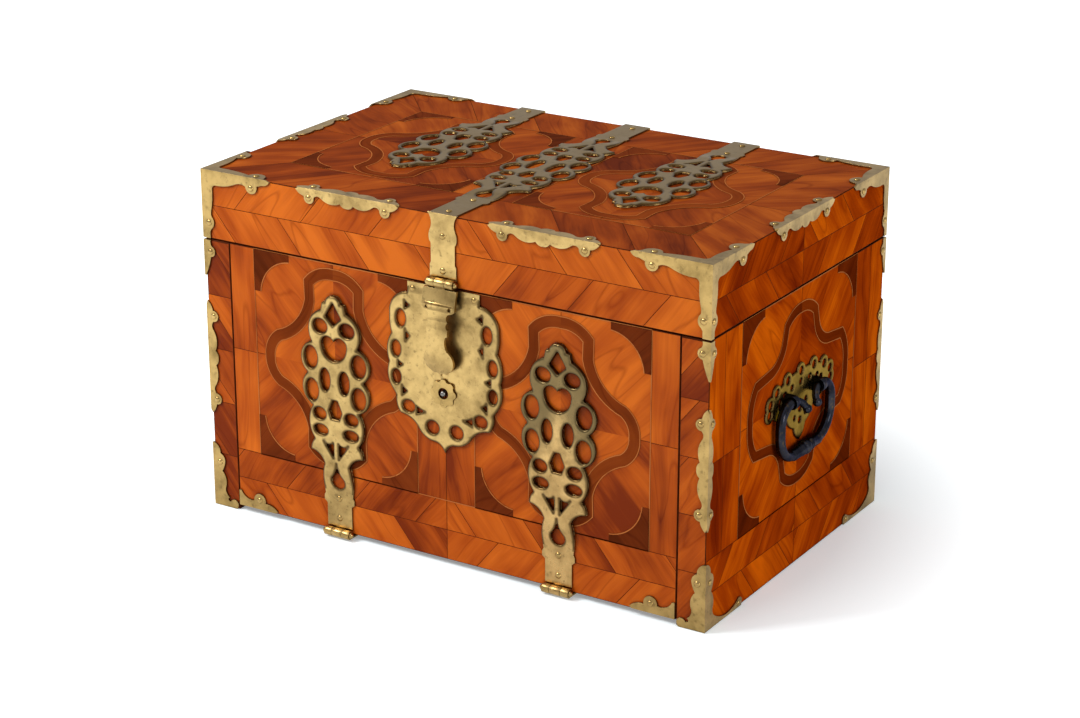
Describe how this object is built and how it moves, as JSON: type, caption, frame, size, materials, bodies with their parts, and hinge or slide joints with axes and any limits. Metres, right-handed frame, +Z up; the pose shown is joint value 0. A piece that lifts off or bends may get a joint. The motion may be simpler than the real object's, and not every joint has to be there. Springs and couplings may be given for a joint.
{
  "type": "strongbox",
  "caption": "Veneered strongbox with a hinged lid, a fall front, pierced brass straps and mounts, a bowed hasp, a lock plate and iron drop handles.",
  "frame": {"origin": "middle of the footprint, on the surface the box stands on", "axes": "+X to the viewer's right along the long side, -Y out of the front, +Z up"},
  "size_m": [0.5522, 0.3491, 0.3265],
  "materials": {
    "veneer": "satin varnish over figured veneer",
    "inner_wood": "oiled",
    "brass": "satin gilt",
    "iron": "dark, slightly shiny",
    "steel": "worn"
  },
  "bodies": {
    "case": {"case_floor": "inner_wood", "case_side_left": "veneer", "case_side_right": "veneer", "case_back": "veneer", "well_floor": "inner_wood", "well_front": "inner_wood", "drawer_shelf": "inner_wood", "drawer_dividers": "inner_wood", "case_upper_mounts": "brass", "case_middle_mounts": "brass", "case_bottom_corners": "brass", "case_nails": "brass", "fall_hinge_leaves": "brass", "fall_hinge_pins": "brass", "lid_hinge_leaves": "brass", "lid_hinge_pins": "brass", "handle_plate_left": "brass", "handle_plate_right": "brass", "handle_eyes_left": "iron", "handle_eyes_right": "iron"},
    "lid": {"lid_top": "veneer", "lid_rail_front": "veneer", "lid_rail_back": "veneer", "lid_rails_side": "veneer", "lid_strap_left": "brass", "lid_strap_centre": "brass", "lid_strap_right": "brass", "lid_corner_mounts": "brass", "lid_edge_mounts": "brass", "lid_nails": "brass", "hasp_pin": "brass"},
    "hasp": {"hasp": "brass"},
    "fall_front": {"fall_front_panel": "veneer", "front_strap_left": "brass", "front_strap_right": "brass", "lock_plate": "brass", "keyhole_rosette": "brass", "drill_pin": "steel", "lock_case": "iron", "front_corner_mounts": "brass", "front_nails": "brass"},
    "lock_bolt": {"lock_bolt": "iron"},
    "drawer_left": {"drawer_left": "inner_wood", "drawer_knob_left": "brass"},
    "drawer_middle": {"drawer_middle": "inner_wood", "drawer_knob_middle": "brass"},
    "drawer_right": {"drawer_right": "inner_wood", "drawer_knob_right": "brass"},
    "handle_left": {"handle_left": "iron"},
    "handle_right": {"handle_right": "iron"}
  },
  "joints": [
    {"name": "lid_hinge", "type": "hinge", "parent": "case", "child": "lid", "pos_m": [0, 0.1685, 0.26], "axis": [-1, 0, 0], "range_deg": [0, 180]},
    {"name": "hasp_hinge", "type": "hinge", "parent": "lid", "child": "hasp", "pos_m": [0, -0.1685, 0.2642], "axis": [-1, 0, 0], "range_deg": [0, 165]},
    {"name": "fall_front_hinge", "type": "hinge", "parent": "case", "child": "fall_front", "pos_m": [0, -0.1685, 0.005], "axis": [1, 0, 0], "range_deg": [0, 90]},
    {"name": "lock_bolt_slide", "type": "slide", "parent": "fall_front", "child": "lock_bolt", "axis": [1, 0, 0], "range_m": [0, 0.008]},
    {"name": "drawer_left_slide", "type": "slide", "parent": "case", "child": "drawer_left", "axis": [0, -1, 0], "range_m": [0, 0.12]},
    {"name": "drawer_middle_slide", "type": "slide", "parent": "case", "child": "drawer_middle", "axis": [0, -1, 0], "range_m": [0, 0.12]},
    {"name": "drawer_right_slide", "type": "slide", "parent": "case", "child": "drawer_right", "axis": [0, -1, 0], "range_m": [0, 0.12]},
    {"name": "handle_left_hinge", "type": "hinge", "parent": "case", "child": "handle_left", "pos_m": [-0.266, 0, 0.163], "axis": [0, 1, 0], "range_deg": [0, 100]},
    {"name": "handle_right_hinge", "type": "hinge", "parent": "case", "child": "handle_right", "pos_m": [0.266, 0, 0.163], "axis": [0, -1, 0], "range_deg": [0, 100]}
  ],
  "couplings": [
    {"joint": "hasp_hinge", "follows": "lid_hinge", "ratio": 0.91667},
    {"joint": "fall_front_hinge", "follows": "lid_hinge", "ratio": 0.5},
    {"joint": "drawer_left_slide", "follows": "lid_hinge", "m_per_rad": 0.038197},
    {"joint": "drawer_middle_slide", "follows": "lid_hinge", "m_per_rad": 0.038197},
    {"joint": "drawer_right_slide", "follows": "lid_hinge", "m_per_rad": 0.038197}
  ]
}
